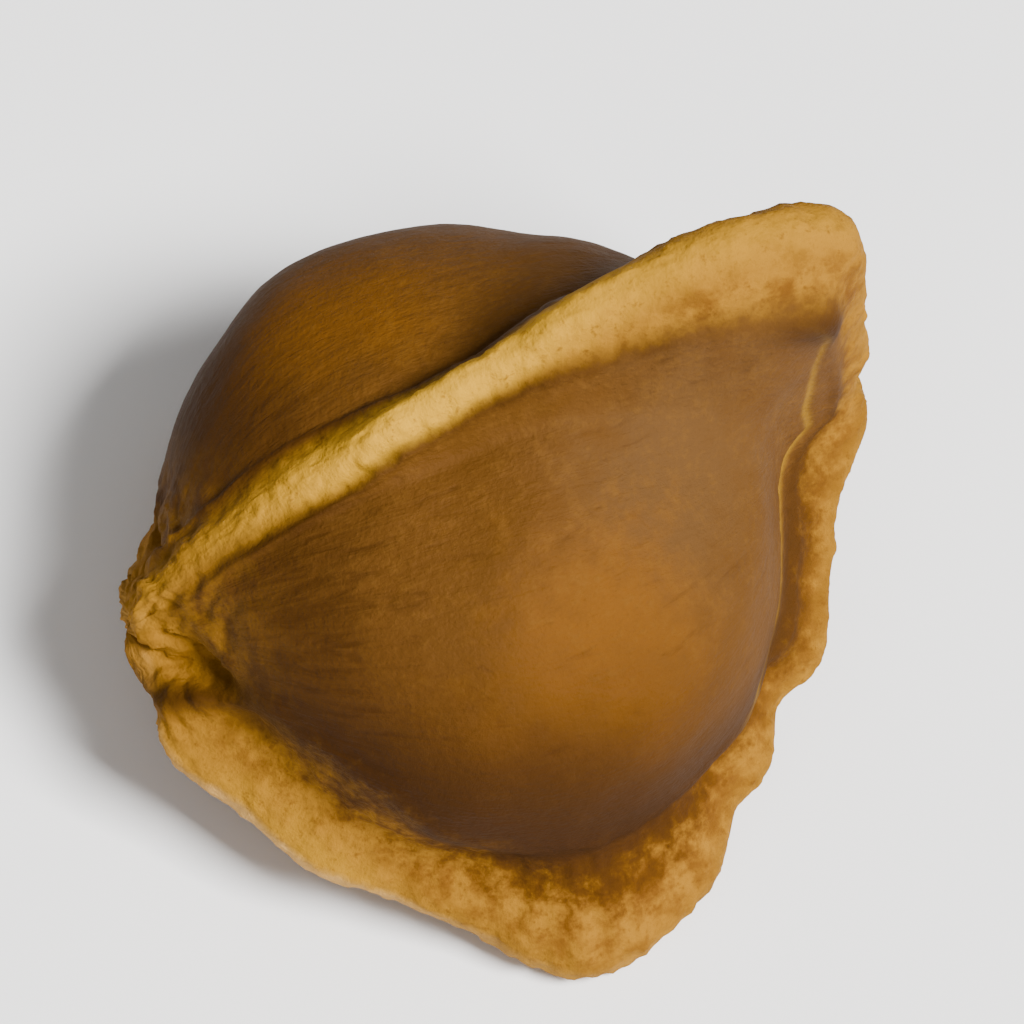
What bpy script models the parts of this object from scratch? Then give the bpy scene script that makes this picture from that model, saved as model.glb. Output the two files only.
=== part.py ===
"""A moringa seed: a round brown body with three corky wings, lying on one of its faces.

The surface is one closed skin. Its radius from the seed's middle is a formula of two
angles: polar, which runs along the seed from its tip (0) to its base (180 degrees), and
around, which runs about its long axis (0 is the far side, 90 is up, 180 is the front).
"""

import math
from dataclasses import dataclass

import bmesh
import bpy
import numpy as np

MM = 0.001  # sizes below are millimetres and degrees, and Blender's are metres and radians

# The egg-shaped body inside the wings, measured from its middle.
BODY_TOWARDS_TIP = 6.3
BODY_TOWARDS_BASE = 4.6
FULLNESS = 2.4  # 2 gives an ellipse from end to end, and more a fuller, squarer body
WAIST = 4.1  # the body's radius between its faces, under the wings
FACE_LENGTH = 72  # how far along the seed a face stays domed

# Where the three wings join.
TIP_REACH = 7.4
TIP_SPREAD = 24
BASE_REACH = 7.0
BASE_SPREAD = 10

# A wing's section: a blunt edge, and flanks that spread to a foot on the body.
EDGE_HALF_THICKNESS = 0.55
BLUNTNESS = 2.6
FLANK_GIRTH = 6.4
GUTTER_OUT = 1.6  # the gutter along a wing's foot, in half thicknesses from its edge
GUTTER_SPREAD = 0.45
GUTTER_DEPTH = 0.14
FULL_TURN = 360

# A crease in the front face, which runs back from beside the tip.
CREASE_AROUND = 172
CREASE_WIDTH = 17
CREASE_POLAR = 13
CREASE_LENGTH = 11
CREASE_DEPTH = 0.35

# The coat's low unevenness: waves about the axis, waves along it, and their height.
COAT_WAVES = ((3, 5, 0.06), (7, 4, 0.045), (5, 11, 0.03))

# How the seed lies: its axis is level, and its lowest edges are worn flat.
AXIS_HEIGHT = 4.24

# The mesh.
ROWS = 62
COLUMNS_PER_FACE = 20
CROWDING = 0.62  # how far the columns gather towards the wings

SEED_BROWN = (0.27, 0.14, 0.05, 1.0)
SEED_ROUGHNESS = 0.62


@dataclass(frozen=True)
class Face:
    """One domed face, between two wings."""

    around: float
    spread: float
    fullest: float  # the polar angle where it bulges most
    bulge: float  # how far it stands out from the waist there


FRONT_FACE = Face(around=177, spread=52, fullest=78, bulge=2.45)
FAR_FACE = Face(around=22, spread=43, fullest=62, bulge=1.45)
RESTING_FACE = Face(around=266, spread=37, fullest=90, bulge=-0.5)
FACES = (FRONT_FACE, FAR_FACE, RESTING_FACE)


@dataclass(frozen=True)
class Wing:
    """One corky wing, from the tip to the base."""

    around: float
    reach: float
    shoulders: tuple  # (polar angle, rise, spread) of each corner or hollow of its edge
    sway: float  # how far its edge wanders to one side and the other
    ripple: float  # how uneven its edge is
    thickening: float  # how much its half thickness grows for each millimetre of its height


TOP_WING = Wing(
    around=90,
    reach=5.6,
    shoulders=((133, 3.15, 33), (137, 0.45, 10), (169, 0.65, 9)),
    sway=2.0,
    ripple=0.03,
    thickening=0.14,
)
FRONT_WING = Wing(
    around=206.9,
    reach=7.6,
    shoulders=(
        (15, 1.1, 8.5),
        (84, 1.25, 17),
        (158, -1.45, 40),
        (119, -0.35, 10),
        (109, -0.35, 5),
        (127, -0.3, 5),
    ),
    sway=-1.5,
    ripple=0.03,
    thickening=0.2,
)
FAR_WING = Wing(
    around=324.6,
    reach=6.4,
    shoulders=((63, 1.64, 20), (122, 1.12, 24)),
    sway=2.0,
    ripple=0.05,
    thickening=0.14,
)
WINGS = (TOP_WING, FRONT_WING, FAR_WING)


def hump(angle, place, spread):
    """A smooth rise from 0 to 1 and back, centred on a place."""
    return np.exp(-(((angle - place) / spread) ** 2))


def edge_reach(wing, polar):
    """How far a wing's edge stands from the seed's middle."""
    reach = wing.reach + sum(
        rise * hump(polar, place, spread) for place, rise, spread in wing.shoulders
    )
    turns = np.radians(polar)
    reach = reach + wing.ripple * (np.sin(11 * turns + wing.around) + np.sin(19 * turns))
    reach = reach + (TIP_REACH - reach) * hump(polar, 0, TIP_SPREAD)
    return reach + (BASE_REACH - reach) * hump(polar, 180, BASE_SPREAD)


def edge_around(wing, polar):
    """Where a wing's edge is, about the axis."""
    return wing.around + wing.sway * np.sin(2 * np.radians(polar))


def turned_from(around, place):
    """The angle about the axis from a place, between -180 and 180 degrees."""
    return (around - place + FULL_TURN / 2) % FULL_TURN - FULL_TURN / 2


def body_radius(polar, around):
    """The body alone, an egg with a bulge for each face."""
    girth = WAIST + sum(
        face.bulge
        * hump(turned_from(around, face.around), 0, face.spread)
        * hump(polar, face.fullest, FACE_LENGTH)
        for face in FACES
    )
    turns = np.radians(polar)
    length = np.where(np.cos(turns) > 0, BODY_TOWARDS_TIP, BODY_TOWARDS_BASE)
    end_on = np.abs(np.cos(turns) / length) ** FULLNESS
    side_on = np.abs(np.sin(turns) / girth) ** FULLNESS
    return (end_on + side_on) ** (-1 / FULLNESS)


def skin_radius(polar, around):
    """The whole seed's surface: the body, with the wings swept up from it."""
    body = body_radius(polar, around)
    lift = np.zeros_like(body)
    weight = np.zeros_like(body)
    left_bare = np.ones_like(body)
    gutter = np.zeros_like(body)
    for wing in WINGS:
        turned = turned_from(around, edge_around(wing, polar))
        off_edge = np.abs(FLANK_GIRTH * np.sin(np.radians(polar)) * np.radians(turned))
        rise = edge_reach(wing, polar) - body
        half_thickness = EDGE_HALF_THICKNESS + wing.thickening * np.maximum(rise, 0)
        share = 1 / (1 + (off_edge / half_thickness) ** BLUNTNESS)
        lift = lift + share * rise
        weight = weight + share
        left_bare = left_bare * (1 - share)
        gutter = gutter + hump(off_edge, GUTTER_OUT * half_thickness, GUTTER_SPREAD)
    crease = hump(polar, CREASE_POLAR, CREASE_LENGTH) * hump(
        turned_from(around, CREASE_AROUND), 0, CREASE_WIDTH
    )
    waves = sum(
        height * np.sin(np.radians(about * around + along * polar))
        for about, along, height in COAT_WAVES
    )
    uneven = (waves - GUTTER_DEPTH * gutter) * np.sin(np.radians(polar))
    return body + (1 - left_bare) * lift / weight + uneven - CREASE_DEPTH * crease


def column_angles(polar):
    """Angles about the axis along one row, crowded together at each wing's edge."""
    steps = np.arange(COLUMNS_PER_FACE) / COLUMNS_PER_FACE
    steps = steps - CROWDING * np.sin(2 * math.pi * steps) / (2 * math.pi)
    edges = [edge_around(wing, polar) for wing in WINGS]
    edges.append(edges[0] + FULL_TURN)
    return np.concatenate([a + (b - a) * steps for a, b in zip(edges, edges[1:])])


def surface_point(polar, around):
    """A point of the skin, in millimetres, with the tip towards -X and the floor at 0."""
    radius = skin_radius(polar, around)
    along = -radius * np.cos(np.radians(polar))
    out = radius * np.sin(np.radians(polar))
    away = out * np.cos(np.radians(around))
    up = out * np.sin(np.radians(around)) + AXIS_HEIGHT
    return np.stack([along, away, np.maximum(up, 0)], axis=-1)


def seed_mesh():
    """The skin as one closed mesh: rings of points between a point at each end."""
    rings = []
    for row in range(1, ROWS):
        polar = 180 * row / ROWS
        around = column_angles(polar)
        rings.append(surface_point(np.full_like(around, polar), around))
    rings = np.array(rings)
    ends = [surface_point(np.array([polar]), np.array([0.0]))[0] for polar in (0.0, 180.0)]
    corners = np.concatenate([rings.reshape(-1, 3), ends])
    middle = (corners.min(axis=0) + corners.max(axis=0)) / 2
    shift = np.array([middle[0], middle[1], corners[:, 2].min()])

    mesh = bmesh.new()
    ring_points = [[mesh.verts.new((p - shift) * MM) for p in ring] for ring in rings]
    tip, base = (mesh.verts.new((p - shift) * MM) for p in ends)
    columns = len(ring_points[0])
    for column in range(columns):
        following = (column + 1) % columns
        mesh.faces.new((tip, ring_points[0][following], ring_points[0][column]))
        mesh.faces.new((base, ring_points[-1][column], ring_points[-1][following]))
        for near, far in zip(ring_points, ring_points[1:]):
            mesh.faces.new((near[column], near[following], far[following], far[column]))
    bmesh.ops.triangulate(mesh, faces=mesh.faces)
    bmesh.ops.recalc_face_normals(mesh, faces=mesh.faces)
    data = bpy.data.meshes.new("moringa_seed")
    mesh.to_mesh(data)
    mesh.free()
    data.shade_smooth()
    return data


def seed_coat():
    """The plain brown of the seed coat."""
    material = bpy.data.materials.new("seed_coat")
    material.use_nodes = True
    shader = material.node_tree.nodes["Principled BSDF"]
    shader.inputs["Base Color"].default_value = SEED_BROWN
    shader.inputs["Roughness"].default_value = SEED_ROUGHNESS
    shader.inputs["Metallic"].default_value = 0.0
    return material


def main():
    for old in list(bpy.data.objects):
        bpy.data.objects.remove(old)
    seed = bpy.data.objects.new("moringa_seed", seed_mesh())
    seed.data.materials.append(seed_coat())
    bpy.context.scene.collection.objects.link(seed)


main()
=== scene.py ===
"""A moringa seed with its looks: a brown, fibrous coat and three golden, corky wings.

Geometry Nodes grow the seed's skin from the same rule and sizes as the solid, and raise
the fine relief of its cork and coat. One material paints both.

A place on the skin is given by two angles in degrees: polar, which runs along the seed from
its tip (0) to its base (180), and around, which runs about its long axis (0 is the far side,
90 is up, 180 is the front). Lengths are in millimetres until the skin is placed.
"""

import math
from dataclasses import dataclass

import bpy
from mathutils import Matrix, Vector


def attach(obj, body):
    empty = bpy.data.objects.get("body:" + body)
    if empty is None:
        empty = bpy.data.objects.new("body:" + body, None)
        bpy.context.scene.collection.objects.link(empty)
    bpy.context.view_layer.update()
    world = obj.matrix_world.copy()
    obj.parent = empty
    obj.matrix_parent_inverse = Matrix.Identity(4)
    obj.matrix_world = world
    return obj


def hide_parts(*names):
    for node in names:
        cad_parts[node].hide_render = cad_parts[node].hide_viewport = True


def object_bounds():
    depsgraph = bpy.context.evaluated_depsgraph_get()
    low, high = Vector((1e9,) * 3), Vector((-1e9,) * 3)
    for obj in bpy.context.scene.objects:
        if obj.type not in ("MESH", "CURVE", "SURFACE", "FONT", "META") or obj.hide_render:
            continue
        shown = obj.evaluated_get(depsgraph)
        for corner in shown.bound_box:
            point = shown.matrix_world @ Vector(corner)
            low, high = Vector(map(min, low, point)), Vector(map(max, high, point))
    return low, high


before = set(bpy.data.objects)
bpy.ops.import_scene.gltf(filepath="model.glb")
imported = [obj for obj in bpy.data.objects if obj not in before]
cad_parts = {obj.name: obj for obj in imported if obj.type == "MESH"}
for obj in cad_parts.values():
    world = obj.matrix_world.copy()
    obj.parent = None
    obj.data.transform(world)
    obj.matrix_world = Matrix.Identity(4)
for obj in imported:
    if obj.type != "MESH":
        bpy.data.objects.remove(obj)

bl_info = {
    "name": "Moringa Seed",
    "version": (1, 0, 0),
    "blender": (4, 5, 0),
    "location": "3D View > Sidebar > Seed",
    "description": "Grows a winged moringa seed with its cork and coat, and sets its stage",
    "category": "Add Mesh",
}

NODE = "moringa_seed"
BODY = "root"
CAD_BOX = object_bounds()

MM = 0.001
PER_MM = 1000.0
DEGREES_TO_RADIANS = math.pi / 180
FULL_TURN = 360
TIP = 0
BASE = 180

# The rule of the skin, as in the solid.
FULLNESS = 2.4  # 2 gives an ellipse from end to end, and more a fuller, squarer body
FACE_LENGTH = 72  # how far along the seed a face stays domed
TIP_SPREAD = 24
BASE_SPREAD = 10
BLUNTNESS = 2.6
FLANK_GIRTH = 6.4
GUTTER_OUT = 1.6  # the gutter along a wing's foot, in half thicknesses from its edge
GUTTER_SPREAD = 0.45
CROWDING = 0.62  # how far the columns gather towards the wings
EDGE_RIPPLES = (11, 19)  # ripples of a wing's edge, over a full turn of polar

# The coat's low unevenness: waves about the axis, waves along it, and their height.
COAT_WAVES = ((3, 5, 0.06), (7, 4, 0.045), (5, 11, 0.03))

# Millimetres over the skin for a degree from the tip, and the radius that turns about the
# axis are measured on, for patterns that follow the skin.
ALONG_PER_DEGREE = 0.12
FLOW_GIRTH = 5.5


@dataclass(frozen=True)
class Face:
    """One domed face, between two wings."""

    around: float
    spread: float
    fullest: float  # the polar angle where it bulges most
    bulge: float  # how far it stands out from the waist there


FRONT_FACE = Face(around=177, spread=52, fullest=78, bulge=2.45)
FAR_FACE = Face(around=22, spread=43, fullest=62, bulge=1.45)
RESTING_FACE = Face(around=266, spread=37, fullest=90, bulge=-0.5)
FACES = (FRONT_FACE, FAR_FACE, RESTING_FACE)


@dataclass(frozen=True)
class Wing:
    """One corky wing, from the tip to the base."""

    around: float
    reach: float
    shoulders: tuple  # (polar angle, rise, spread) of each corner or hollow of its edge
    sway: float  # how far its edge wanders to one side and the other
    ripple: float  # how uneven its edge is
    thickening: float  # how much its half thickness grows for each millimetre of its height
    cork: float  # how far its cork spreads from its edge
    cork_changes: tuple  # (polar angle, change, spread) where the cork is wider or narrower
    cork_behind: float  # its width on the flank that looks down the turn, as a share


TOP_WING = Wing(
    around=90,
    reach=5.6,
    shoulders=((133, 3.15, 33), (137, 0.45, 10), (169, 0.65, 9)),
    sway=2.0,
    ripple=0.03,
    thickening=0.14,
    cork=0.72,
    cork_changes=((24, -0.15, 20), (128, 1.15, 28), (172, 0.35, 12)),
    cork_behind=1.1,
)
FRONT_WING = Wing(
    around=206.9,
    reach=7.6,
    shoulders=(
        (15, 1.1, 8.5),
        (84, 1.25, 17),
        (158, -1.45, 40),
        (119, -0.35, 10),
        (109, -0.35, 5),
        (127, -0.3, 5),
    ),
    sway=-1.5,
    ripple=0.03,
    thickening=0.2,
    cork=2.2,
    cork_changes=((46, 0.55, 18), (84, 0.5, 18), (148, -1.15, 34)),
    cork_behind=1.0,
)
FAR_WING = Wing(
    around=324.6,
    reach=6.4,
    shoulders=((63, 1.64, 20), (122, 1.12, 24)),
    sway=2.0,
    ripple=0.05,
    thickening=0.14,
    cork=1.6,
    cork_changes=((90, 0.2, 30),),
    cork_behind=1.0,
)
WINGS = (TOP_WING, FRONT_WING, FAR_WING)


@dataclass(frozen=True)
class Spot:
    """A soft-edged spot on the skin: where it is, and how far it spreads."""

    polar: float
    length: float
    around: float
    width: float

    def at(self, polar, around):
        """1 in the spot's middle, and 0 away from it."""
        here = hump(polar, self.polar, self.length)
        return here * hump(turned_from(around, self.around), 0, self.width)


# Creases and puckers, and their depth in millimetres.
TIP_CREASE = Spot(polar=13, length=11, around=172, width=17)
TIP_CREASE_DEPTH = 0.35
CORNER_CREASE = Spot(polar=139, length=7, around=100, width=2.2)
CORNER_CREASE_DEPTH = 0.22
PUCKERS = Spot(polar=82, length=14, around=203, width=14)
PUCKER_DEPTH = 0.3

# A fold that winds out from the tip, between the top wing and the front one.
FOLD_PLACE = 15
FOLD_LENGTH = 10
FOLD_END = 152  # where it runs to, about the axis
FOLD_WINDING = 90  # how far round from there it starts
FOLD_UNWINDS = 13  # how far along the seed it needs to lose most of that
FOLD_WIDTH = 0.26
FOLD_DEPTH = 0.36

# The knobbly tip.
TIP_LUMPS_AT = 8
TIP_LUMPS_LENGTH = 13
TIP_LUMPS_HEIGHT = 0.9

# The pale line on the front face, which follows the wings' edges round the base.
LINE_OFF_EDGE = 2.0
LINE_WIDTH = 0.1
LINE_WANDER = 0.3
LINE_STARTS = (113, 124)  # the polar angles over which it fades in
LINE_SOONER = 20  # how much sooner it starts by the top wing
LINE_TOP_WIDTH = 42
LINE_AROUND = 147
LINE_AROUND_WIDTH = 60
LINE_ELSEWHERE = 0.15  # how much of it is left on the other faces
LINE_GAPS = (-0.35, 0.05)  # the noise below which it is gone, and from which it is whole
LINE_HEIGHT = 0.055

# The step of the cork down to the coat, in widths of the cork from a wing's edge.
BORDER_WANDER = 0.35
CORK_BORDER = (0.78, 1.12)
BORDER_GUTTER_AT = 1.16
BORDER_GUTTER_WIDTH = 0.10
BORDER_GUTTER_DEPTH = 0.05

# The ragged line of the wings' edges: its height, and its nicks.
RAGGED_HEIGHT = 0.3
NICKS = 0.45  # nicks to a millimetre
NICK_SIZE = (0.02, 0.2)  # how far from its middle a nick begins to rise, and ends
NICK_DEPTH = 0.12

# Over how many degrees to each side of an edge the cork's width changes between flanks.
EDGE_BLEND = 2

# The pits of the cork, as the nicks are given.
PITS = 1.9
PIT_SIZE = (0.05, 0.4)
PIT_LEVEL = 0.8

# How much each form adds to the relief of the cork and of the coat.
RIB_SHARE = 0.7
PIT_SHARE = 0.35
LUMP_SHARE = 1.4
WRINKLE_SHARE = 0.45
DENT_SHARE = 1.5


@dataclass(frozen=True)
class Pattern:
    """A noise on the skin. One with an about follows the skin, and the others fill space."""

    along: float  # blobs to a millimetre
    about: float = None  # the same, about the axis
    detail: float = 2.0
    roughness: float = 0.5
    distortion: float = 0.0


RAGGED = Pattern(along=1.0, about=1.0, detail=3.0, roughness=0.6)
CORK_BORDER_WANDER = Pattern(along=0.9)
CORK_RIBS = Pattern(along=2.0, about=0.7, detail=3.0, roughness=0.6)
CORK_LUMPS = Pattern(along=1.3, detail=4.0, roughness=0.6)
COAT_WRINKLES = Pattern(along=0.5, about=2.2, detail=3.0, roughness=0.55, distortion=0.5)
COAT_DENTS = Pattern(along=0.6)
TIP_LUMPS = Pattern(along=1.1, detail=3.0, roughness=0.55, distortion=0.8)
PUCKER_RIBS = Pattern(along=3.2, about=0.7)
LINE_WANDERS = Pattern(along=0.7)
LINE_BREAKS = Pattern(along=0.8, detail=3.0)
FINE_FIBRES = Pattern(along=2.0, about=14.0, detail=3.0, roughness=0.55, distortion=0.4)
COLOUR_PATTERNS = {
    "patches": Pattern(along=0.4, detail=3.0, roughness=0.55),
    "mottle": Pattern(along=1.9, detail=5.0, roughness=0.65),
    "flecks": Pattern(along=3.6, detail=3.0, roughness=0.6),
    "grains": Pattern(along=7.0, detail=3.0, roughness=0.6),
    "fine": Pattern(along=17.0, detail=3.0, roughness=0.6),
    "fibres": Pattern(along=0.8, about=3.6, detail=4.0, roughness=0.6, distortion=0.6),
    "ribs": Pattern(along=4.0, about=1.0, detail=3.0, roughness=0.6),
}

# Spots of colour, by the names that the layers use: a painted grey sheen on the front dome's
# upper right, painted warm highlights on the front dome and on the far face, and painted shade
# under the front dome, where it turns down away from the light.
COLOUR_SPOTS = {
    "dusty": Spot(polar=120, length=26, around=124, width=30),
    "rubbed": Spot(polar=90, length=26, around=150, width=24),
    "rubbed_behind": Spot(polar=62, length=24, around=52, width=22),
    "stained": Spot(polar=68, length=44, around=184, width=31),
}

# The same for bands right round the seed: polar angle and spread.
COLOUR_BANDS = {
    "tip": (4, 17),
    # painted shade on the coat towards the tip, which faces away from the key light
    "dark_tip": (33, 20),
    "streaked_tip": (36, 20),
    "edge_band": (38, 32),
    "foot_band": (90, 36),
    "shade_band": (94, 34),
    "dull_band": (104, 32),
    "base_end": (160, 35),
    "lit_ridge": (72, 36),
    "lit_front": (40, 20),
    "open_corner": (142, 22),
    "bare_tip": (0, 20),
    "narrow_tip": (20, 24),
}

# And for bands from tip to base: angle about the axis and spread.
COLOUR_SIDES = {"on_top": (TOP_WING.around, 32), "low_front": (188, 24), "far_side": (30, 52)}


@dataclass(frozen=True)
class Layer:
    """A colour laid over the ones before it, where its patterns add up to enough."""

    colour: str
    cover: float  # how much of what is below it hides, at most
    adds: dict  # what adds to it, and how much of each
    high: float  # it shows in full where the sum is this or more
    low: float = 0.0  # and not at all where it is this or less
    start: float = 0.0  # what the sum starts from
    within: tuple = ()  # what limits it

    def factor(self, values):
        """How much of the layer shows, from its values by name."""
        total = summed(values, self.adds) + self.start
        factor = total.between(self.low, self.high) * self.cover
        for name in self.within:
            factor = factor * values[name]
        return factor


# Over the coat: a painted grey sheen and a painted warm highlight, each with patches and
# mottling of its own, scuffs, dark streaks, and painted shade under the front dome, on the coat
# towards the tip and on the far face.
COAT_LAYERS = (
    Layer(
        "coat_grey",
        cover=0.85,
        adds={"dusty": 1.0, "patches": 1.2, "mottle": 0.6},
        low=0.1,
        high=0.9,
    ),
    Layer(
        "coat_warm",
        cover=1.0,
        adds={"rubbed": 0.9, "rubbed_behind": 0.7, "patches": 1.2, "mottle": 1.0},
        low=0.1,
        high=1.05,
    ),
    Layer(
        "coat_pale",
        cover=0.45,
        adds={"mottle": 1.8, "grains": 1.6, "patches": 0.6},
        start=0.15,
        high=0.9,
    ),
    Layer(
        "coat_dark",
        cover=0.5,
        adds={"fibres": 2.0, "streaked_tip": 0.45},
        start=0.12,
        low=0.25,
        high=0.85,
    ),
    Layer(
        "coat_dark",
        cover=0.8,
        adds={"stained": 1.2, "dark_tip": 0.45, "far_shade_and_streaks": 1.0, "mottle": 0.7},
        high=1.0,
    ),
)

# Over the cork: brown mottling, thinned under the painted highlight; pale gold, partly wear and
# partly painted highlight where the key light falls; specks; painted shade and dirt by the
# front foot, and duller brown low on the front; and a painted highlight along the lower wings'
# edges towards the tip.
CORK_LAYERS = (
    Layer(
        "cork_brown",
        cover=0.9,
        adds={"mottle": 2.6, "patches": 1.0, "ribs": 0.4, "lit": -0.45, "low_base": 0.3},
        start=0.5,
        low=0.15,
        high=1.0,
    ),
    Layer(
        "cork_pale",
        cover=1.0,
        adds={"off_edge": -0.8, "relief": 2.0, "mottle": 1.2, "lit": 0.7},
        start=0.7,
        low=0.1,
        high=1.1,
        within=("wear_and_highlight",),
    ),
    Layer(
        "cork_brown",
        cover=0.6,
        adds={"grains": 2.2, "flecks": 2.0, "fine": 1.0, "front_rim": 0.3},
        low=0.15,
        high=0.95,
    ),
    Layer(
        "coat_warm",
        cover=1.0,
        adds={"rim": 1.5, "mottle": 1.5, "flecks": 1.1},
        start=-0.45,
        high=0.8,
        within=("low_front", "shade"),
    ),
    Layer(
        "coat_dark",
        cover=0.75,
        adds={"rim": 1.6, "mottle": 1.6, "flecks": 1.4},
        start=-0.75,
        high=0.7,
        within=("low_front", "foot_band"),
    ),
    Layer(
        "cork_brown",
        cover=0.5,
        adds={"ribs": 1.6, "mottle": 1.2},
        start=0.3,
        high=0.9,
        within=("low_front", "dull_band"),
    ),
    Layer(
        "cork_edge_highlight",
        cover=0.6,
        adds={"off_edge": -1.0, "mottle": 0.3},
        start=0.5,
        high=0.3,
        within=("edge_band", "off_top"),
    ),
)

# Over both: cork at the tip, and at the end fine dark grain.
TIP_LAYER = Layer(
    "cork",
    cover=0.75,
    adds={"mottle": 2.4, "patches": 0.4},
    start=0.6,
    low=0.2,
    high=0.9,
    within=("tip",),
)
GRAIN_LAYER = Layer("coat_dark", cover=0.3, adds={"fine": 1.6, "grains": 0.8}, high=0.9)

# A painted highlight on the cork where the key light falls, along the top wing's ridge and low
# on the front near the tip, laid with the wear it has all over; and how pale each makes it.
LIT_FRONT_SHARE = 0.5
WEAR_ALL_OVER = 0.22
WEAR_WHERE_LIT = 0.6

# Shade on the front wing's cork: all along it, and more by the foot of the front face.
SHADE_ALL_ALONG = 0.25
SHADE_BY_FOOT = 0.7

# Painted shade on the far face, which faces away from the key light, and how much of it the
# fibres' streaks take off and add.
FAR_SHADE = 0.25
FAR_STREAKS = 0.9

# The dark gutter of the coat, partly its own darker brown and partly painted shade in the
# groove along the cork, in widths of the cork from a wing's edge.
DARK_GUTTER_FROM = 0.9
DARK_GUTTER_TO = 1.35
DARK_GUTTER_WIDER = 1.3  # and so much wider low on the front
DARK_GUTTER_RAGGED = 0.5
DARK_GUTTER_COVER = 0.75
DARK_GUTTER_LESS_AT_TIP = 0.5

# The border between cork and coat: how it wanders and is speckled, all over and more so low
# on the front, and the widths between which cork gives way to coat.
BORDER_WAVER = 0.3
BORDER_MOTTLE = (0.35, 0.6)
BORDER_GRAINS = (0.12, 0.3)
ALL_CORK_TO = 0.66
ALL_COAT_FROM = 1.16
BORDER_SOFTER_IN = 0.36
BORDER_SOFTER_OUT = 0.25
BORDER_SOFTER_AT_TIP = 0.4

LINE_COVER = 0.32
# Painted shade in the fold at the tip and the crease in the corner: how much of the dark brown
# they get.
FOLD_COVER = 0.9
CORNER_CREASE_SHARE = 0.88  # how dark the crease in the corner is beside the tip's fold

# Heights of the bumps in millimetres, on coat and cork alike and on each alone.
BUMPS = {"grains": 0.028, "fine": 0.012}
COAT_BUMPS = {"fibres": 0.030, "fine_fibres": 0.014}
CORK_BUMPS = {"ribs": 0.030, "mottle": 0.06}

COAT_ROUGHNESS = 0.66
CORK_ROUGHER = 0.16  # how much rougher the cork is than the coat
GRAIN_ROUGHNESS = 0.2
SHEEN_LEVEL = 0.04

# The stage, in metres and degrees.
LIGHT_DISTANCE = 0.35
KEY_FROM = (34, 54)  # azimuth and elevation
KEY_SIZE = 0.12
FILL_FROM = (-35, 55)
FILL_SIZE = 0.25
CLOSE_UP = 0.80  # how much of the ball round the seed the view takes in
NEAREST_SEEN = 0.001
FARTHEST_SEEN = 10.0
FLOOR_REACH = 1.5
FLOOR_ROUGHNESS = 0.7


class Number:
    """A number that a node gives. Arithmetic on it adds Math nodes to its tree."""

    def __init__(self, tree, socket):
        self.tree = tree
        self.socket = socket

    def __add__(self, other):
        return self.tree.maths("ADD", self, other)

    def __radd__(self, other):
        return self.tree.maths("ADD", other, self)

    def __sub__(self, other):
        return self.tree.maths("SUBTRACT", self, other)

    def __rsub__(self, other):
        return self.tree.maths("SUBTRACT", other, self)

    def __mul__(self, other):
        return self.tree.maths("MULTIPLY", self, other)

    def __rmul__(self, other):
        return self.tree.maths("MULTIPLY", other, self)

    def __truediv__(self, other):
        return self.tree.maths("DIVIDE", self, other)

    def __rtruediv__(self, other):
        return self.tree.maths("DIVIDE", other, self)

    def __pow__(self, other):
        return self.tree.maths("POWER", self, other)

    def __mod__(self, other):
        return self.tree.maths("FLOORED_MODULO", self, other)

    def __gt__(self, other):
        return self.tree.maths("GREATER_THAN", self, other)

    def __neg__(self):
        return self.tree.maths("MULTIPLY", self, -1)

    def __abs__(self):
        return self.tree.maths("ABSOLUTE", self)

    def at_least(self, other):
        return self.tree.maths("MAXIMUM", self, other)

    def at_most(self, other):
        return self.tree.maths("MINIMUM", self, other)

    def exp(self):
        return self.tree.maths("EXPONENT", self)

    def root(self):
        return self.tree.maths("SQRT", self.at_least(0))

    def sin(self):
        return self.tree.maths("SINE", self)

    def cos(self):
        return self.tree.maths("COSINE", self)

    def floor(self):
        return self.tree.maths("FLOOR", self)

    def between(self, low, high):
        """0 below low, 1 above high, and a smooth step from one to the other."""
        made = self.tree.node(
            "ShaderNodeMapRange",
            {"interpolation_type": "SMOOTHSTEP"},
            {"Value": self, "From Min": low, "From Max": high, "To Min": 0.0, "To Max": 1.0},
        )
        return Number(self.tree, made.outputs["Result"])


class Tree:
    """A node tree being built."""

    def __init__(self, data):
        self.data = data

    def node(self, kind, settings=None, sockets=None):
        """Adds a node, its settings first and then a value or a link for each socket."""
        made = self.data.nodes.new(kind)
        for name, value in (settings or {}).items():
            setattr(made, name, value)
        for name, value in (sockets or {}).items():
            if isinstance(name, int):
                socket = made.inputs[name]
            else:
                socket = next(s for s in made.inputs if s.name == name and s.enabled)
            if isinstance(value, Number):
                value = value.socket
            if isinstance(value, bpy.types.NodeSocket):
                self.data.links.new(value, socket)
            else:
                socket.default_value = value
        return made

    def node_to(self, shader, name, value):
        """Links a value to one of a shader's sockets."""
        socket = value.socket if isinstance(value, Number) else value
        self.data.links.new(socket, shader.inputs[name])

    def maths(self, operation, *values):
        """A Math node on numbers."""
        made = self.node("ShaderNodeMath", {"operation": operation}, dict(enumerate(values)))
        return Number(self, made.outputs[0])

    def vector(self, x, y, z):
        """A vector from three numbers."""
        return self.node("ShaderNodeCombineXYZ", None, {0: x, 1: y, 2: z}).outputs[0]

    def parts(self, vector):
        """The three numbers of a vector."""
        made = self.node("ShaderNodeSeparateXYZ", None, {0: vector})
        return [Number(self, socket) for socket in made.outputs]

    def scaled(self, vector, factor):
        """A vector made longer or shorter."""
        made = self.node(
            "ShaderNodeVectorMath", {"operation": "SCALE"}, {"Vector": vector, "Scale": factor}
        )
        return made.outputs["Vector"]

    def cells(self, where, scale):
        """Distance to the nearest of many scattered points."""
        made = self.node(
            "ShaderNodeTexVoronoi", {"feature": "F1"}, {"Vector": where, "Scale": scale}
        )
        return Number(self, made.outputs["Distance"])


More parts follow.
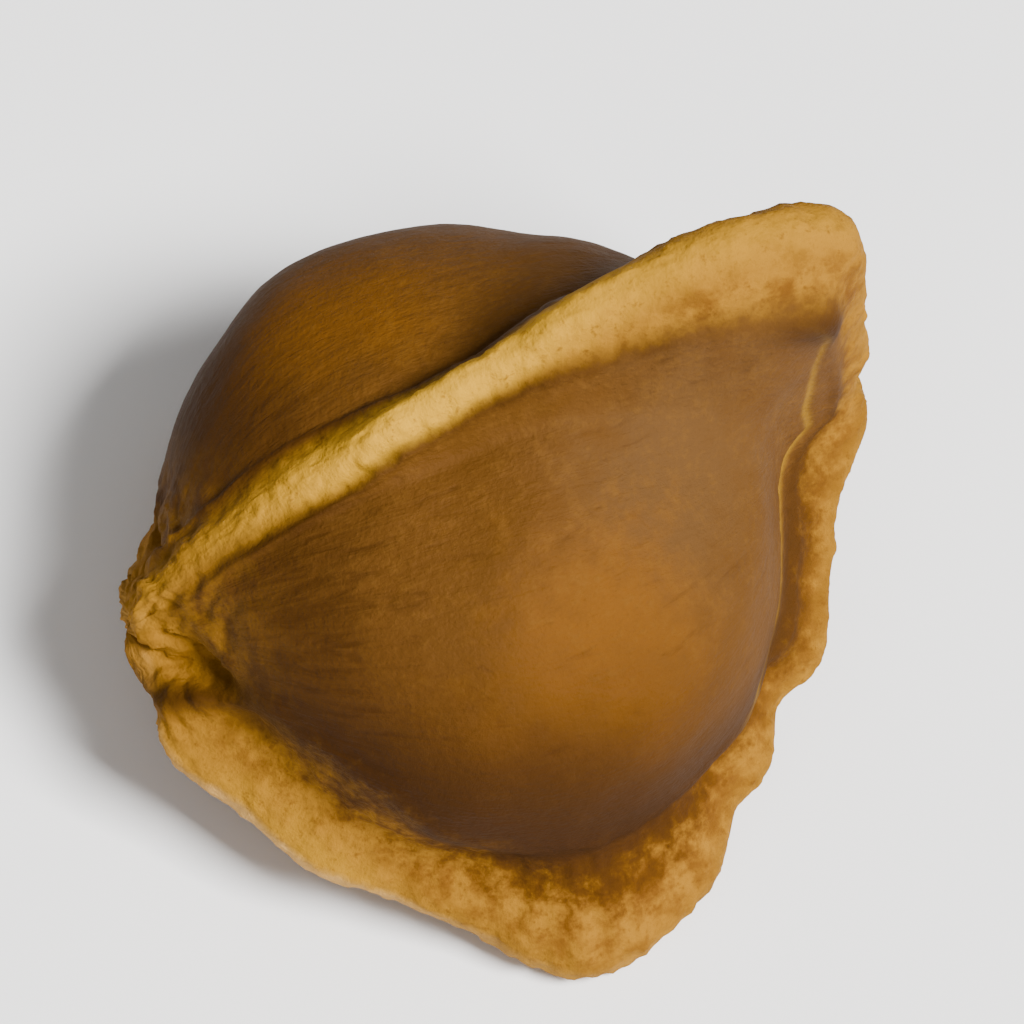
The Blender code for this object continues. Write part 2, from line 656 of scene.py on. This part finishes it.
class Ground:
    """Where a tree's patterns lie: in space, and along and about the seed's skin."""

    def __init__(self, tree, space, flow):
        self.tree = tree
        self.space = space
        self.flow = flow

    def noise(self, pattern):
        """A pattern's smooth noise about 0, from about -0.5 to 0.5."""
        where, scale = self.space, pattern.along
        if pattern.about is not None:
            along, up, across = self.tree.parts(self.flow)
            where = self.tree.vector(
                along * pattern.along, up * pattern.about, across * pattern.about
            )
            scale = 1.0
        made = self.tree.node(
            "ShaderNodeTexNoise",
            {"noise_dimensions": "3D"},
            {
                "Vector": where,
                "Scale": scale,
                "Detail": pattern.detail,
                "Roughness": pattern.roughness,
                "Distortion": pattern.distortion,
            },
        )
        return Number(self.tree, made.outputs[0]) - 0.5


def hump(angle, place, spread):
    """A smooth rise from 0 to 1 and back, centred on a place."""
    off = (angle - place) / spread
    return (-(off * off)).exp()


def turned_from(around, place):
    """The angle about the axis from a place, between -180 and 180 degrees."""
    return (around - place + FULL_TURN / 2) % FULL_TURN - FULL_TURN / 2


class SeedSizes(bpy.types.PropertyGroup):
    """Sizes of the seed."""

    tip_reach: bpy.props.FloatProperty(
        name="Tip reach",
        description="From the seed's middle to its pointed tip",
        unit="LENGTH",
        default=7.4 * MM,
    )
    base_reach: bpy.props.FloatProperty(
        name="Base reach",
        description="From the seed's middle to its blunt base",
        unit="LENGTH",
        default=7.0 * MM,
    )
    body_towards_tip: bpy.props.FloatProperty(
        name="Body towards tip",
        description="Half length of the body on the tip's side",
        unit="LENGTH",
        default=6.3 * MM,
    )
    body_towards_base: bpy.props.FloatProperty(
        name="Body towards base",
        description="Half length of the body on the base's side",
        unit="LENGTH",
        default=4.6 * MM,
    )
    waist: bpy.props.FloatProperty(
        name="Waist",
        description="Radius of the body between its faces",
        unit="LENGTH",
        default=4.1 * MM,
    )
    edge_half_thickness: bpy.props.FloatProperty(
        name="Edge half thickness",
        description="Half the thickness of a low wing",
        unit="LENGTH",
        default=0.55 * MM,
    )
    gutter_depth: bpy.props.FloatProperty(
        name="Gutter depth",
        description="Depth of the gutter along a wing's foot",
        unit="LENGTH",
        default=0.14 * MM,
    )
    axis_height: bpy.props.FloatProperty(
        name="Axis height",
        description="Height of the long axis above the floor",
        unit="LENGTH",
        default=4.24 * MM,
    )
    cork_relief: bpy.props.FloatProperty(
        name="Cork relief",
        description="Depth of the cork's ribs and pits",
        unit="LENGTH",
        default=0.14 * MM,
    )
    cork_step: bpy.props.FloatProperty(
        name="Cork step",
        description="How far the cork's border stands above the coat",
        unit="LENGTH",
        default=0.07 * MM,
    )
    coat_relief: bpy.props.FloatProperty(
        name="Coat relief",
        description="Depth of the coat's wrinkles",
        unit="LENGTH",
        default=0.08 * MM,
    )
    columns: bpy.props.IntProperty(
        name="Columns", description="Columns of faces about the axis", default=384
    )
    rows: bpy.props.IntProperty(
        name="Rows", description="Rows of faces from the tip to the base", default=250
    )


class SeedColours(bpy.types.PropertyGroup):
    """Colours of the coat and the cork."""

    coat: bpy.props.FloatVectorProperty(
        name="Coat",
        description="Brown of the domed faces",
        subtype="COLOR",
        default=(0.080, 0.032, 0.0050),
    )
    # Painted as a warm highlight on the domes, with patches and mottling of its own, and as
    # painted shade on the front wing's cork by its foot.
    coat_warm: bpy.props.FloatVectorProperty(
        name="Warm coat",
        description="Rubbed, orange brown",
        subtype="COLOR",
        default=(0.125, 0.045, 0.0040),
    )
    # Laid on as a painted grey sheen on the front dome's upper right, and in patches.
    coat_grey: bpy.props.FloatVectorProperty(
        name="Grey coat",
        description="Dusty, greyer brown",
        subtype="COLOR",
        default=(0.085, 0.040, 0.0120),
    )
    coat_pale: bpy.props.FloatVectorProperty(
        name="Pale coat",
        description="Scuffs on the coat",
        subtype="COLOR",
        default=(0.140, 0.062, 0.0110),
    )
    # Also painted shade: under the front dome, on the coat towards the tip, on the far face, in
    # the gutters, the fold and the crease, and on the front cork by its foot. Its streaks and
    # grain are the coat's own.
    coat_dark: bpy.props.FloatVectorProperty(
        name="Dark coat",
        description="Stains, creases and gutters",
        subtype="COLOR",
        default=(0.026, 0.0085, 0.0008),
    )
    cork: bpy.props.FloatVectorProperty(
        name="Cork",
        description="Gold of the wings",
        subtype="COLOR",
        default=(0.240, 0.108, 0.0090),
    )
    # Laid on as wear and as a painted highlight where the key light falls, and along the pale
    # line round the base.
    cork_pale: bpy.props.FloatVectorProperty(
        name="Pale cork",
        description="Worn edges of the wings",
        subtype="COLOR",
        default=(0.500, 0.262, 0.0120),
    )
    # A painted highlight along the lower wings' edges.
    cork_edge_highlight: bpy.props.FloatVectorProperty(
        name="Cork edge",
        description="Thin rubbed line along a wing",
        subtype="COLOR",
        default=(0.50, 0.30, 0.115),
    )
    cork_brown: bpy.props.FloatVectorProperty(
        name="Brown cork",
        description="Specks and pits",
        subtype="COLOR",
        default=(0.115, 0.042, 0.0045),
    )


class StageSettings(bpy.types.PropertyGroup):
    """The floor, the lights and the camera."""

    floor: bpy.props.FloatVectorProperty(
        name="Floor",
        description="Colour of the floor",
        subtype="COLOR",
        default=(0.92, 0.91, 0.90),
    )
    azimuth: bpy.props.FloatProperty(
        name="Azimuth",
        description="Where the camera stands round the seed",
        subtype="ANGLE",
        default=math.radians(-20),
    )
    elevation: bpy.props.FloatProperty(
        name="Elevation",
        description="How high the camera looks from",
        subtype="ANGLE",
        default=math.radians(62),
    )
    lens: bpy.props.FloatProperty(
        name="Lens", description="Focal length of the camera", unit="CAMERA", default=600.0
    )
    key_power: bpy.props.FloatProperty(
        name="Key light",
        description="Power of the soft light on the right",
        unit="POWER",
        default=3.9,
    )
    fill_power: bpy.props.FloatProperty(
        name="Fill light",
        description="Power of the wider light on the other side",
        unit="POWER",
        default=0.25,
    )
    sky: bpy.props.FloatProperty(
        name="Sky", description="Strength of the light from all round", default=0.22
    )


COUNTS = ("columns", "rows")
LENGTHS = tuple(name for name in SeedSizes.__annotations__ if name not in COUNTS)


def new_geometry_tree(name, numbers, whole_numbers):
    """An empty Geometry Nodes tree with a named input for each size."""
    data = bpy.data.node_groups.new(name, "GeometryNodeTree")
    for label in numbers:
        data.interface.new_socket(label, in_out="INPUT", socket_type="NodeSocketFloat")
    for label in whole_numbers:
        data.interface.new_socket(label, in_out="INPUT", socket_type="NodeSocketInt")
    data.interface.new_socket("Geometry", in_out="OUTPUT", socket_type="NodeSocketGeometry")
    tree = Tree(data)
    sockets = tree.node("NodeGroupInput").outputs
    inputs = {label: Number(tree, sockets[label]) for label in (*numbers, *whole_numbers)}
    return tree, inputs


def finish_geometry_tree(tree, geometry, material):
    """Realises the instances, sets the material and gives the result."""
    real = tree.node("GeometryNodeRealizeInstances", None, {"Geometry": geometry}).outputs[0]
    painted_skin = tree.node(
        "GeometryNodeSetMaterial", None, {"Geometry": real, "Material": material}
    )
    tree.node("NodeGroupOutput", None, {"Geometry": painted_skin.outputs[0]})


def label_of(group, name):
    """The name that a property shows, which is also its input's in a tree."""
    return group.bl_rna.properties[name].name


def grown_mesh(name, tree, values):
    """Runs a tree on an empty object, and keeps what it gives as a plain mesh."""
    empty = bpy.data.meshes.new(name)
    maker = bpy.data.objects.new(name, empty)
    bpy.context.scene.collection.objects.link(maker)
    modifier = maker.modifiers.new("Grow", "NODES")
    modifier.node_group = tree.data
    for item in tree.data.interface.items_tree:
        if item.in_out == "INPUT":
            modifier[item.identifier] = values[item.name]
    evaluated = maker.evaluated_get(bpy.context.evaluated_depsgraph_get())
    mesh = bpy.data.meshes.new_from_object(evaluated)
    maker.modifiers.remove(modifier)
    maker.data = mesh
    bpy.data.meshes.remove(empty)
    mesh.name = name
    return maker


def attribute(tree, name, data_type="FLOAT"):
    """What is stored on the mesh under a name."""
    made = tree.node(
        "GeometryNodeInputNamedAttribute", {"data_type": data_type}, {"Name": name}
    )
    return made.outputs["Attribute"]


def stored(tree, geometry, name, value, data_type="FLOAT"):
    """The mesh with a value stored on its points."""
    made = tree.node(
        "GeometryNodeStoreNamedAttribute",
        {"data_type": data_type, "domain": "POINT"},
        {"Geometry": geometry, "Name": name, "Value": value},
    )
    return made.outputs["Geometry"]


def moved(tree, geometry, **sockets):
    """The mesh with its points set to a Position, or moved by an Offset."""
    made = tree.node("GeometryNodeSetPosition", None, {"Geometry": geometry, **sockets})
    return made.outputs["Geometry"]


def edge_reach(wing, polar, inputs):
    """How far a wing's edge stands from the seed's middle."""
    reach = wing.reach
    for place, rise, spread in wing.shoulders:
        reach = reach + hump(polar, place, spread) * rise
    turns = polar * DEGREES_TO_RADIANS
    coarse, fine = EDGE_RIPPLES
    ripples = (turns * coarse + wing.around).sin() + (turns * fine).sin()
    reach = reach + ripples * wing.ripple
    reach = reach + (inputs["Tip reach"] - reach) * hump(polar, TIP, TIP_SPREAD)
    return reach + (inputs["Base reach"] - reach) * hump(polar, BASE, BASE_SPREAD)


def edge_around(wing, polar):
    """Where a wing's edge is, about the axis."""
    return (polar * (2 * DEGREES_TO_RADIANS)).sin() * wing.sway + wing.around


def body_radius(polar, around, inputs):
    """The body alone, an egg with a bulge for each face."""
    girth = inputs["Waist"]
    for face in FACES:
        bulge = hump(turned_from(around, face.around), 0, face.spread) * face.bulge
        girth = girth + bulge * hump(polar, face.fullest, FACE_LENGTH)
    turns = polar * DEGREES_TO_RADIANS
    tip_side = turns.cos() > 0
    length = inputs["Body towards tip"] * tip_side
    length = length + inputs["Body towards base"] * (1 - tip_side)
    end_on = abs(turns.cos() / length) ** FULLNESS
    side_on = abs(turns.sin() / girth) ** FULLNESS
    return (end_on + side_on) ** (-1 / FULLNESS)


def skin_radius(polar, around, inputs, ragged):
    """The skin's radius from the seed's middle, and the reach of each wing's edge."""
    body = body_radius(polar, around, inputs)
    middle = (polar * DEGREES_TO_RADIANS).sin()
    lift = weight = gutter = 0.0
    left_bare = 1.0
    reaches = []
    for wing in WINGS:
        reach = edge_reach(wing, polar, inputs) + ragged
        reaches.append(reach)
        turned = turned_from(around, edge_around(wing, polar))
        off_edge = abs(turned * middle * (FLANK_GIRTH * DEGREES_TO_RADIANS))
        rise = reach - body
        half_thickness = rise.at_least(0) * wing.thickening + inputs["Edge half thickness"]
        share = 1 / ((off_edge / half_thickness) ** BLUNTNESS + 1)
        lift = lift + share * rise
        weight = weight + share
        left_bare = left_bare * (1 - share)
        gutter = gutter + hump(off_edge, half_thickness * GUTTER_OUT, GUTTER_SPREAD)
    waves = 0.0
    for about, along, height in COAT_WAVES:
        waves = waves + ((around * about + polar * along) * DEGREES_TO_RADIANS).sin() * height
    uneven = (waves - gutter * inputs["Gutter depth"]) * middle
    radius = body + (1 - left_bare) * lift / weight + uneven
    return radius - TIP_CREASE.at(polar, around) * TIP_CREASE_DEPTH, reaches


def distance_from_edges(polar, around, radius, reaches):
    """Distance from the nearest wing's edge, alone and as a share of its cork's width."""
    middle = (polar * DEGREES_TO_RADIANS).sin()
    nearest = share = None
    for wing, reach in zip(WINGS, reaches):
        turned = turned_from(around, edge_around(wing, polar))
        apart = 1 - middle * middle * (1 - (turned * DEGREES_TO_RADIANS).cos())
        distance = (radius * radius + reach * reach - radius * reach * apart * 2).root()
        width = wing.cork
        for place, change, spread in wing.cork_changes:
            width = hump(polar, place, spread) * change + width
        past_edge = turned.between(-EDGE_BLEND, EDGE_BLEND)
        width = width * (past_edge * (1 - wing.cork_behind) + wing.cork_behind)
        nearest = distance if nearest is None else nearest.at_most(distance)
        share = distance / width if share is None else share.at_most(distance / width)
    return nearest, share


def crowded_angle(turn, polar):
    """The angle about the axis of a column, with the columns crowded at each wing's edge."""
    step = turn * len(WINGS)
    face = step.floor().at_most(len(WINGS) - 1)
    part = step - face
    part = part - (part * (2 * math.pi)).sin() * (CROWDING / (2 * math.pi))
    edges = [edge_around(wing, polar) for wing in WINGS]
    edges.append(edges[0] + FULL_TURN)
    start, end = edges[0], edges[1]
    for number in range(1, len(WINGS)):
        past = face > number - 0.5
        start = start + past * (edges[number] - edges[number - 1])
        end = end + past * (edges[number + 1] - edges[number])
    return start + (end - start) * part


def skin_tree(material):
    """The Geometry Nodes tree that grows the skin."""
    lengths = [label_of(SeedSizes, name) for name in LENGTHS]
    counts = [label_of(SeedSizes, name) for name in COUNTS]
    tree, inputs = new_geometry_tree("grow_skin", lengths, counts)
    geometry = measured_skin(tree, inputs)
    geometry = stand_on_floor(tree, placed_skin(tree, geometry, inputs))
    geometry = stored(tree, geometry, "relief", skin_relief(tree, inputs))
    normal = tree.node("GeometryNodeInputNormal").outputs[0]
    raised = tree.scaled(normal, Number(tree, attribute(tree, "relief")) * MM)
    geometry = moved(tree, geometry, Offset=raised)
    x, y, z = tree.parts(tree.node("GeometryNodeInputPosition").outputs[0])
    geometry = moved(tree, geometry, Position=tree.vector(x, y, z.at_least(0.0)))
    geometry = tree.node("GeometryNodeSetShadeSmooth", None, {"Geometry": geometry}).outputs[0]
    finish_geometry_tree(tree, geometry, material)
    return tree


def measured_skin(tree, inputs):
    """A ball whose points hold their angles, radius and distance from the wings' edges."""
    geometry = tree.node(
        "GeometryNodeMeshUVSphere",
        None,
        {"Segments": inputs["Columns"], "Rings": inputs["Rows"], "Radius": 1.0},
    ).outputs["Mesh"]
    x, y, z = tree.parts(tree.node("GeometryNodeInputPosition").outputs[0])
    polar = tree.maths("ARCCOSINE", z.at_least(-1.0).at_most(1.0)) / DEGREES_TO_RADIANS
    turn = tree.maths("ARCTAN2", y, x) / (2 * math.pi) % 1.0
    geometry = stored(tree, geometry, "polar", polar)
    geometry = stored(tree, geometry, "around", crowded_angle(turn, polar))
    polar, around = skin_angles(tree)

    about = around * DEGREES_TO_RADIANS
    flow = tree.vector(
        polar * ALONG_PER_DEGREE, about.sin() * FLOW_GIRTH, about.cos() * FLOW_GIRTH
    )
    geometry = stored(tree, geometry, "flow", flow, "FLOAT_VECTOR")
    flow = attribute(tree, "flow", "FLOAT_VECTOR")
    nicks = 1 - tree.cells(flow, NICKS).between(*NICK_SIZE)
    ragged = Ground(tree, None, flow).noise(RAGGED) * RAGGED_HEIGHT - nicks * NICK_DEPTH
    ragged = ragged * (polar * DEGREES_TO_RADIANS).sin()
    radius, reaches = skin_radius(polar, around, inputs, ragged)
    geometry = stored(tree, geometry, "radius", radius)
    radius = Number(tree, attribute(tree, "radius"))
    nearest, share = distance_from_edges(polar, around, radius, reaches)
    geometry = stored(tree, geometry, "off_edge", nearest)
    return stored(tree, geometry, "rim", share)


def skin_angles(tree):
    """Each point's polar and around angles."""
    return Number(tree, attribute(tree, "polar")), Number(tree, attribute(tree, "around"))


def placed_skin(tree, geometry, inputs):
    """The points set at their radius, with the tip towards -X and the floor at 0."""
    polar, around = skin_angles(tree)
    turns = polar * DEGREES_TO_RADIANS
    about = around * DEGREES_TO_RADIANS
    radius = Number(tree, attribute(tree, "radius"))
    out = radius * turns.sin()
    height = (out * about.sin() + inputs["Axis height"]).at_least(0.0)
    place = tree.vector(-(radius * turns.cos()), out * about.cos(), height)
    return moved(tree, geometry, Position=tree.scaled(place, MM))


def stand_on_floor(tree, geometry):
    """The mesh with its middle over the origin and its lowest point on the floor."""
    box = tree.node("GeometryNodeBoundBox", None, {"Geometry": geometry})
    low = tree.parts(box.outputs["Min"])
    high = tree.parts(box.outputs["Max"])
    shift = tree.vector((low[0] + high[0]) / -2, (low[1] + high[1]) / -2, -low[2])
    made = tree.node(
        "GeometryNodeTransform", None, {"Geometry": geometry, "Translation": shift}
    )
    return made.outputs["Geometry"]


def tip_fold(polar, around):
    """1 along the middle of the fold at the tip, and 0 away from it."""
    line = (polar / -FOLD_UNWINDS).exp() * FOLD_WINDING + FOLD_END
    off = turned_from(around, line) * (polar * DEGREES_TO_RADIANS).sin() * ALONG_PER_DEGREE
    return hump(off, 0, FOLD_WIDTH) * hump(polar, FOLD_PLACE, FOLD_LENGTH)


def base_line(ground, polar, around, off_edge):
    """1 along the thin pale line round the base, and 0 away from it."""
    by_top_wing = hump(turned_from(around, TOP_WING.around), 0, LINE_TOP_WIDTH)
    starts = (polar - by_top_wing * LINE_SOONER).between(*LINE_STARTS)
    in_front = hump(turned_from(around, LINE_AROUND), 0, LINE_AROUND_WIDTH)
    clear = in_front * (1 - LINE_ELSEWHERE) + LINE_ELSEWHERE
    broken = ground.noise(LINE_BREAKS).between(*LINE_GAPS)
    wander = ground.noise(LINE_WANDERS) * LINE_WANDER
    return hump(off_edge + wander, LINE_OFF_EDGE, LINE_WIDTH) * starts * clear * broken


def skin_relief(tree, inputs):
    """The skin's fine relief in millimetres: cork ribs and pits, coat wrinkles and creases."""
    place = tree.scaled(tree.node("GeometryNodeInputPosition").outputs[0], PER_MM)
    ground = Ground(tree, place, attribute(tree, "flow", "FLOAT_VECTOR"))
    polar, around = skin_angles(tree)
    rim = Number(tree, attribute(tree, "rim"))
    off_edge = Number(tree, attribute(tree, "off_edge"))

    border = rim + ground.noise(CORK_BORDER_WANDER) * BORDER_WANDER
    cork = 1 - border.between(*CORK_BORDER)
    pits = tree.cells(place, PITS).between(*PIT_SIZE) - PIT_LEVEL
    cork_height = (
        ground.noise(CORK_RIBS) * RIB_SHARE
        + pits * PIT_SHARE
        + ground.noise(CORK_LUMPS) * LUMP_SHARE
    )
    cork_height = (cork_height * inputs["Cork relief"] + inputs["Cork step"]) * cork
    coat_height = ground.noise(COAT_WRINKLES) * WRINKLE_SHARE
    coat_height = coat_height + ground.noise(COAT_DENTS) * DENT_SHARE
    coat_height = coat_height * inputs["Coat relief"] * (1 - cork)

    tip_place = hump(polar, TIP_LUMPS_AT, TIP_LUMPS_LENGTH)
    tip_height = ground.noise(TIP_LUMPS) * tip_place * TIP_LUMPS_HEIGHT
    line = base_line(ground, polar, around, off_edge) * LINE_HEIGHT
    puckers = ground.noise(PUCKER_RIBS) * PUCKERS.at(polar, around) * PUCKER_DEPTH
    gutter = hump(border, BORDER_GUTTER_AT, BORDER_GUTTER_WIDTH) * BORDER_GUTTER_DEPTH
    folds = tip_fold(polar, around) * FOLD_DEPTH
    folds = folds + CORNER_CREASE.at(polar, around) * CORNER_CREASE_DEPTH
    return cork_height + coat_height + tip_height + line + puckers - gutter - folds


def mixed(tree, factor, first, second):
    """Two colours mixed by a factor."""
    made = tree.node(
        "ShaderNodeMix", {"data_type": "RGBA", "clamp_factor": True}, {"Factor": factor}
    )
    for name, colour in (("A", first), ("B", second)):
        socket = next(s for s in made.inputs if s.name == name and s.type == "RGBA")
        if isinstance(colour, bpy.types.NodeSocket):
            tree.data.links.new(colour, socket)
        else:
            socket.default_value = (*colour, 1.0)
    return next(s for s in made.outputs if s.type == "RGBA")


def layered(tree, colour, layers, colours, values):
    """A colour with others laid over it."""
    for layer in layers:
        colour = mixed(tree, layer.factor(values), colour, getattr(colours, layer.colour))
    return colour


def new_material(name):
    """A material, its tree and its shader."""
    material = bpy.data.materials.new(name)
    material.use_nodes = True
    shader = material.node_tree.nodes["Principled BSDF"]
    return material, Tree(material.node_tree), shader


def painted(tree, name):
    """What is stored on the mesh under a name, as a number."""
    made = tree.node("ShaderNodeAttribute", {"attribute_name": name})
    return Number(tree, made.outputs["Fac"])


def colour_values(tree, ground):
    """The patterns, places and measures that the colours depend on, by name."""
    values = {name: painted(tree, name) for name in ("rim", "off_edge", "relief", "polar")}
    _, up, across = tree.parts(ground.flow)
    around = tree.maths("ARCTAN2", up, across) / DEGREES_TO_RADIANS
    polar = values["polar"]
    values["around"] = around
    values.update({name: ground.noise(pattern) for name, pattern in COLOUR_PATTERNS.items()})
    values.update({name: spot.at(polar, around) for name, spot in COLOUR_SPOTS.items()})
    values.update({name: hump(polar, *band) for name, band in COLOUR_BANDS.items()})
    for name, (place, spread) in COLOUR_SIDES.items():
        values[name] = hump(turned_from(around, place), 0, spread)

    on_top, low_front = values["on_top"], values["low_front"]
    values["off_top"] = 1 - on_top
    values["front_rim"] = low_front * values["rim"]
    values["low_base"] = values["base_end"] * values["off_top"]
    # Painted highlight where the key light falls, along the top wing's ridge and low on the
    # front near the tip.
    lit_front = values["lit_front"] * low_front * LIT_FRONT_SHARE
    values["lit"] = on_top * values["lit_ridge"] + lit_front
    values["wear_and_highlight"] = values["lit"] * WEAR_WHERE_LIT + WEAR_ALL_OVER
    values["shade"] = values["shade_band"] * SHADE_BY_FOOT + SHADE_ALL_ALONG
    # Painted shade on the far face, broken by the fibres' streaks.
    values["far_shade_and_streaks"] = values["far_side"] * (FAR_SHADE - values["fibres"] * FAR_STREAKS)
    return values


def gutter_factor(values):
    """How dark the coat is in the gutters along the cork: partly its own brown, partly painted
    shade.
    """
    reach = values["low_front"] * DARK_GUTTER_WIDER + DARK_GUTTER_TO
    ragged_rim = values["rim"] + values["mottle"] * DARK_GUTTER_RAGGED
    near_cork = 1 - ragged_rim.between(DARK_GUTTER_FROM, reach)
    near_cork = near_cork * (1 - values["open_corner"] * values["on_top"])
    return near_cork * (DARK_GUTTER_COVER - values["bare_tip"] * DARK_GUTTER_LESS_AT_TIP)


def cork_factor(ground, values):
    """1 on the cork and 0 on the coat, with a speckled border between them."""
    low_front = values["low_front"]
    border = values["rim"] + ground.noise(CORK_BORDER_WANDER) * BORDER_WAVER
    for name, (share, more) in (("mottle", BORDER_MOTTLE), ("grains", BORDER_GRAINS)):
        border = border + values[name] * (low_front * more + share)
    at_tip = values["on_top"] * values["narrow_tip"]
    softer = low_front * BORDER_SOFTER_IN + at_tip * BORDER_SOFTER_AT_TIP
    return 1 - border.between(
        ALL_CORK_TO - softer, low_front * BORDER_SOFTER_OUT + ALL_COAT_FROM
    )


def summed(values, shares):
    """The sum of some values, each times its share."""
    total = 0.0
    for name, share in shares.items():
        total = total + values[name] * share
    return total


def skin_material(colours):
    """Coat and cork in one material, told apart by how far they are from a wing's edge."""
    material, tree, shader = new_material("seed_skin")
    place = tree.scaled(tree.node("ShaderNodeTexCoord").outputs["Object"], PER_MM)
    flow = tree.node("ShaderNodeAttribute", {"attribute_name": "flow"}).outputs["Vector"]
    ground = Ground(tree, place, flow)
    values = colour_values(tree, ground)
    polar, around = values["polar"], values["around"]

    coat = layered(tree, colours.coat, COAT_LAYERS, colours, values)
    coat = mixed(tree, gutter_factor(values), coat, colours.coat_dark)
    cork = layered(tree, colours.cork, CORK_LAYERS, colours, values)
    is_cork = cork_factor(ground, values)
    colour = layered(tree, mixed(tree, is_cork, coat, cork), (TIP_LAYER,), colours, values)
    line = base_line(ground, polar, around, values["off_edge"])
    colour = mixed(tree, line * LINE_COVER, colour, colours.cork_pale)
    # Painted shade in the tip's fold and in the corner's crease.
    fold = tip_fold(polar, around) + CORNER_CREASE.at(polar, around) * CORNER_CREASE_SHARE
    colour = mixed(tree, fold.at_most(1.0) * FOLD_COVER, colour, colours.coat_dark)
    colour = layered(tree, colour, (GRAIN_LAYER,), colours, values)
    tree.node_to(shader, "Base Color", colour)

    roughness = is_cork * CORK_ROUGHER + COAT_ROUGHNESS + values["grains"] * GRAIN_ROUGHNESS
    tree.node_to(shader, "Roughness", roughness)
    values["fine_fibres"] = ground.noise(FINE_FIBRES)
    height = summed(values, BUMPS) + summed(values, COAT_BUMPS) * (1 - is_cork)
    height = height + summed(values, CORK_BUMPS) * is_cork
    bump = tree.node(
        "ShaderNodeBump", None, {"Strength": 1.0, "Distance": MM, "Height": height}
    )
    tree.node_to(shader, "Normal", bump.outputs["Normal"])
    shader.inputs["Specular IOR Level"].default_value = SHEEN_LEVEL
    return material


class SEED_OT_grow_skin(bpy.types.Operator):
    """Grows the seed's skin: the domed coat and its three corky wings"""

    bl_idname = "seed.grow_skin"
    bl_label = "Grow the skin"

    def execute(self, context):
        sizes = context.scene.seed_sizes
        tree = skin_tree(skin_material(context.scene.seed_colours))
        values = {label_of(SeedSizes, name): getattr(sizes, name) for name in COUNTS}
        for name in LENGTHS:
            values[label_of(SeedSizes, name)] = getattr(sizes, name) * PER_MM
        skin_piece = grown_mesh("seed_skin", tree, values)
        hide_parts(NODE)
        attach(skin_piece, BODY)
        return {"FINISHED"}


def direction(azimuth, elevation):
    """The way from the seed to a place round it, from two angles in radians."""
    level = math.cos(elevation)
    return Vector((math.sin(azimuth) * level, -math.cos(azimuth) * level, math.sin(elevation)))


def light(name, azimuth, elevation, target, power, size):
    """A square soft light that looks at the seed from two angles in degrees."""
    data = bpy.data.lights.new(name, "AREA")
    data.energy = power
    data.size = size
    back = direction(math.radians(azimuth), math.radians(elevation))
    lamp = bpy.data.objects.new(name, data)
    lamp.location = target + back * LIGHT_DISTANCE
    lamp.rotation_euler = (-back).to_track_quat("-Z", "Y").to_euler()
    bpy.context.scene.collection.objects.link(lamp)


class SEED_OT_set_stage(bpy.types.Operator):
    """Lays the floor, and sets the lights and the camera"""

    bl_idname = "seed.set_stage"
    bl_label = "Set the stage"

    def execute(self, context):
        settings = context.scene.seed_stage
        low, high = CAD_BOX
        middle = (low + high) / 2
        self.lay_floor(settings.floor, low.z)
        self.light_sky(context.scene, settings.sky)
        light("key", *KEY_FROM, middle, settings.key_power, KEY_SIZE)
        light("fill", *FILL_FROM, middle, settings.fill_power, FILL_SIZE)
        self.set_camera(context.scene, settings, middle, (high - low).length / 2)
        return {"FINISHED"}

    @staticmethod
    def light_sky(scene, strength):
        """An even white light from all round."""
        world = bpy.data.worlds.new("studio")
        world.use_nodes = True
        background = world.node_tree.nodes["Background"]
        background.inputs["Color"].default_value = (1.0, 1.0, 1.0, 1.0)
        background.inputs["Strength"].default_value = strength
        scene.world = world

    @staticmethod
    def set_camera(scene, settings, middle, radius):
        """A camera that looks at the seed's middle and fills its view with it."""
        data = bpy.data.cameras.new("camera")
        data.lens = settings.lens
        data.clip_start = NEAREST_SEEN
        data.clip_end = FARTHEST_SEEN
        camera = bpy.data.objects.new("camera", data)
        back = direction(settings.azimuth, settings.elevation)
        half_view = math.atan(data.sensor_width / 2 / data.lens)
        camera.location = middle + back * (radius * CLOSE_UP / math.sin(half_view))
        camera.rotation_euler = (-back).to_track_quat("-Z", "Y").to_euler()
        scene.collection.objects.link(camera)
        scene.camera = camera

    @staticmethod
    def lay_floor(colour, height):
        """A plain pale floor under the seed."""
        mesh = bpy.data.meshes.new("floor")
        corners = ((-1, -1), (1, -1), (1, 1), (-1, 1))
        mesh.from_pydata(
            [(x * FLOOR_REACH, y * FLOOR_REACH, height) for x, y in corners], [], [(0, 1, 2, 3)]
        )
        floor = bpy.data.objects.new("floor", mesh)
        material, _, shader = new_material("pale_floor")
        shader.inputs["Base Color"].default_value = (*colour, 1.0)
        shader.inputs["Roughness"].default_value = FLOOR_ROUGHNESS
        mesh.materials.append(material)
        bpy.context.scene.collection.objects.link(floor)


class SEED_PT_panel(bpy.types.Panel):
    """Lists the steps that make the seed"""

    bl_idname = "SEED_PT_panel"
    bl_label = "Moringa Seed"
    bl_space_type = "VIEW_3D"
    bl_region_type = "UI"
    bl_category = "Seed"

    def draw(self, context):
        for pointer, group in GROUPS.items():
            box = self.layout.box()
            for name in group.__annotations__:
                box.prop(getattr(context.scene, pointer), name)
        for step in STEPS:
            self.layout.operator(step.bl_idname)


STEPS = (SEED_OT_grow_skin, SEED_OT_set_stage)
GROUPS = {"seed_sizes": SeedSizes, "seed_colours": SeedColours, "seed_stage": StageSettings}


def register():
    for made in (*GROUPS.values(), *STEPS, SEED_PT_panel):
        bpy.utils.register_class(made)
    for name, group in GROUPS.items():
        setattr(bpy.types.Scene, name, bpy.props.PointerProperty(type=group))


def unregister():
    for name in GROUPS:
        delattr(bpy.types.Scene, name)
    for made in reversed((*GROUPS.values(), *STEPS, SEED_PT_panel)):
        bpy.utils.unregister_class(made)


def main():
    register()
    bpy.ops.seed.grow_skin()
    bpy.ops.seed.set_stage()


if __name__ == "__main__":
    main()
